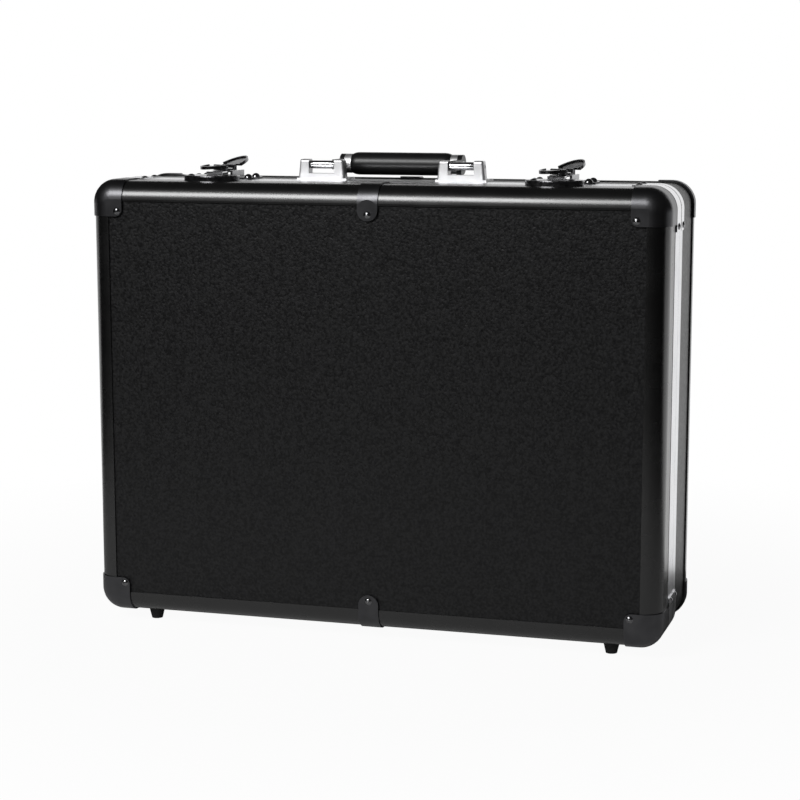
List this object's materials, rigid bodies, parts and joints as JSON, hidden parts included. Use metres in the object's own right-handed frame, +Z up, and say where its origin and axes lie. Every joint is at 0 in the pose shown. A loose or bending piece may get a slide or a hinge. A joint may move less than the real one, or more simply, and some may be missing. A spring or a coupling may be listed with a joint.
{
  "type": "mixer case",
  "caption": "Upright hard carrying case for a mixer: shallow hinged lid, deeper foam-lined base, black edging with pressed corners, bright parting lip, butterfly latches and folding handle.",
  "frame": {"origin": "on the floor under the middle of the case as it stands on its feet", "axes": "+X across the case to the right, +Y from the lid's face to the rear, +Z up"},
  "size_m": [0.4848, 0.1458, 0.394],
  "materials": {
    "laminate": "pebbled black laminate on ply",
    "edging": "satin black anodised extrusion",
    "black_steel": "satin black coated pressed steel",
    "bright_lip": "natural anodised extrusion",
    "bright_cap": "nickel plated",
    "rivets": "plated steel",
    "foam": "open cell foam, charcoal",
    "rubber": "moulded black rubber",
    "screws": "zinc plated steel",
    "hinge_steel": "nickel plated steel",
    "chrome": "chrome plated",
    "arm_black": "black coated casting",
    "grip": "smooth black padded grip",
    "latch_dark": "black chrome",
    "latch_bright": "nickel plated spring steel"
  },
  "bodies": {
    "base": {"base_panel": "laminate", "base_side_wall": "laminate", "base_edging_left": "edging", "base_edging_right": "edging", "base_edging_clips": "black_steel", "base_corners": "black_steel", "base_lip": "bright_lip", "base_lip_caps": "bright_cap", "base_rivets": "rivets", "base_hinge_rivets": "rivets", "base_foam_pad": "foam", "base_foam_blocks": "foam", "base_feet": "rubber", "base_foot_screws": "screws", "base_hinge_leaves": "hinge_steel", "hinge_pins": "hinge_steel", "left_latch_plate": "latch_dark", "right_latch_plate": "latch_dark", "latch_rivets": "rivets", "left_handle_bracket": "chrome", "right_handle_bracket": "chrome", "handle_bracket_rivets": "rivets", "handle_pins": "chrome"},
    "lid": {"lid_panel": "laminate", "lid_side_wall": "laminate", "lid_edging_left": "edging", "lid_edging_right": "edging", "lid_edging_clips": "black_steel", "lid_corners": "black_steel", "lid_lip": "bright_lip", "lid_lip_caps": "bright_cap", "lid_rivets": "rivets", "lid_hinge_rivets": "rivets", "lid_foam_pad": "foam", "lid_foam_blocks": "foam", "lid_feet": "rubber", "lid_foot_screws": "screws", "lid_hinge_leaves": "hinge_steel", "left_strike": "latch_dark", "right_strike": "latch_dark", "strike_rivets": "rivets"},
    "handle": {"left_handle_arm": "arm_black", "right_handle_arm": "arm_black", "handle_core": "screws", "handle_ferrules": "chrome", "handle_grip": "grip"},
    "left_rotor": {"left_latch_rotor": "latch_dark", "left_latch_wing_pins": "screws"},
    "left_hook": {"left_latch_hook": "latch_bright"},
    "left_low_wing": {"left_latch_low_wing": "latch_dark"},
    "left_high_wing": {"left_latch_high_wing": "latch_dark"},
    "right_rotor": {"right_latch_rotor": "latch_dark", "right_latch_wing_pins": "screws"},
    "right_hook": {"right_latch_hook": "latch_bright"},
    "right_low_wing": {"right_latch_low_wing": "latch_dark"},
    "right_high_wing": {"right_latch_high_wing": "latch_dark"}
  },
  "joints": [
    {"name": "lid_hinge", "type": "hinge", "parent": "base", "child": "lid", "pos_m": [0, -0.0167, 0.0072], "axis": [1, 0, 0], "range_deg": [0, 95]},
    {"name": "handle_fold", "type": "hinge", "parent": "base", "child": "handle", "pos_m": [0, -0.0031, 0.3846], "axis": [1, 0, 0], "range_deg": [0, 100]},
    {"name": "left_latch_turn", "type": "hinge", "parent": "base", "child": "left_rotor", "pos_m": [-0.144, -0.0093, 0.379], "axis": [0, 0, 1], "range_deg": [0, 90]},
    {"name": "left_hook_pull", "type": "slide", "parent": "base", "child": "left_hook", "axis": [0, 0.9806, -0.1961], "range_m": [0, 0.00613]},
    {"name": "left_low_wing_fold", "type": "hinge", "parent": "left_rotor", "child": "left_low_wing", "pos_m": [-0.14625, -0.0132, 0.3824], "axis": [-0.866, 0.5, 0], "range_deg": [0, 80]},
    {"name": "left_high_wing_fold", "type": "hinge", "parent": "left_rotor", "child": "left_high_wing", "pos_m": [-0.14175, -0.0054, 0.3824], "axis": [0.866, -0.5, 0], "range_deg": [-24, 56]},
    {"name": "right_latch_turn", "type": "hinge", "parent": "base", "child": "right_rotor", "pos_m": [0.144, -0.0093, 0.379], "axis": [0, 0, 1], "range_deg": [0, 90]},
    {"name": "right_hook_pull", "type": "slide", "parent": "base", "child": "right_hook", "axis": [0, 0.9806, -0.1961], "range_m": [0, 0.00613]},
    {"name": "right_low_wing_fold", "type": "hinge", "parent": "right_rotor", "child": "right_low_wing", "pos_m": [0.14175, -0.0132, 0.3824], "axis": [-0.866, 0.5, 0], "range_deg": [0, 80]},
    {"name": "right_high_wing_fold", "type": "hinge", "parent": "right_rotor", "child": "right_high_wing", "pos_m": [0.14625, -0.0054, 0.3824], "axis": [0.866, -0.5, 0], "range_deg": [-24, 56]}
  ],
  "couplings": [
    {"joint": "left_hook_pull", "follows": "left_latch_turn", "m_per_rad": 0.0038954},
    {"joint": "right_hook_pull", "follows": "right_latch_turn", "m_per_rad": 0.0038954}
  ]
}
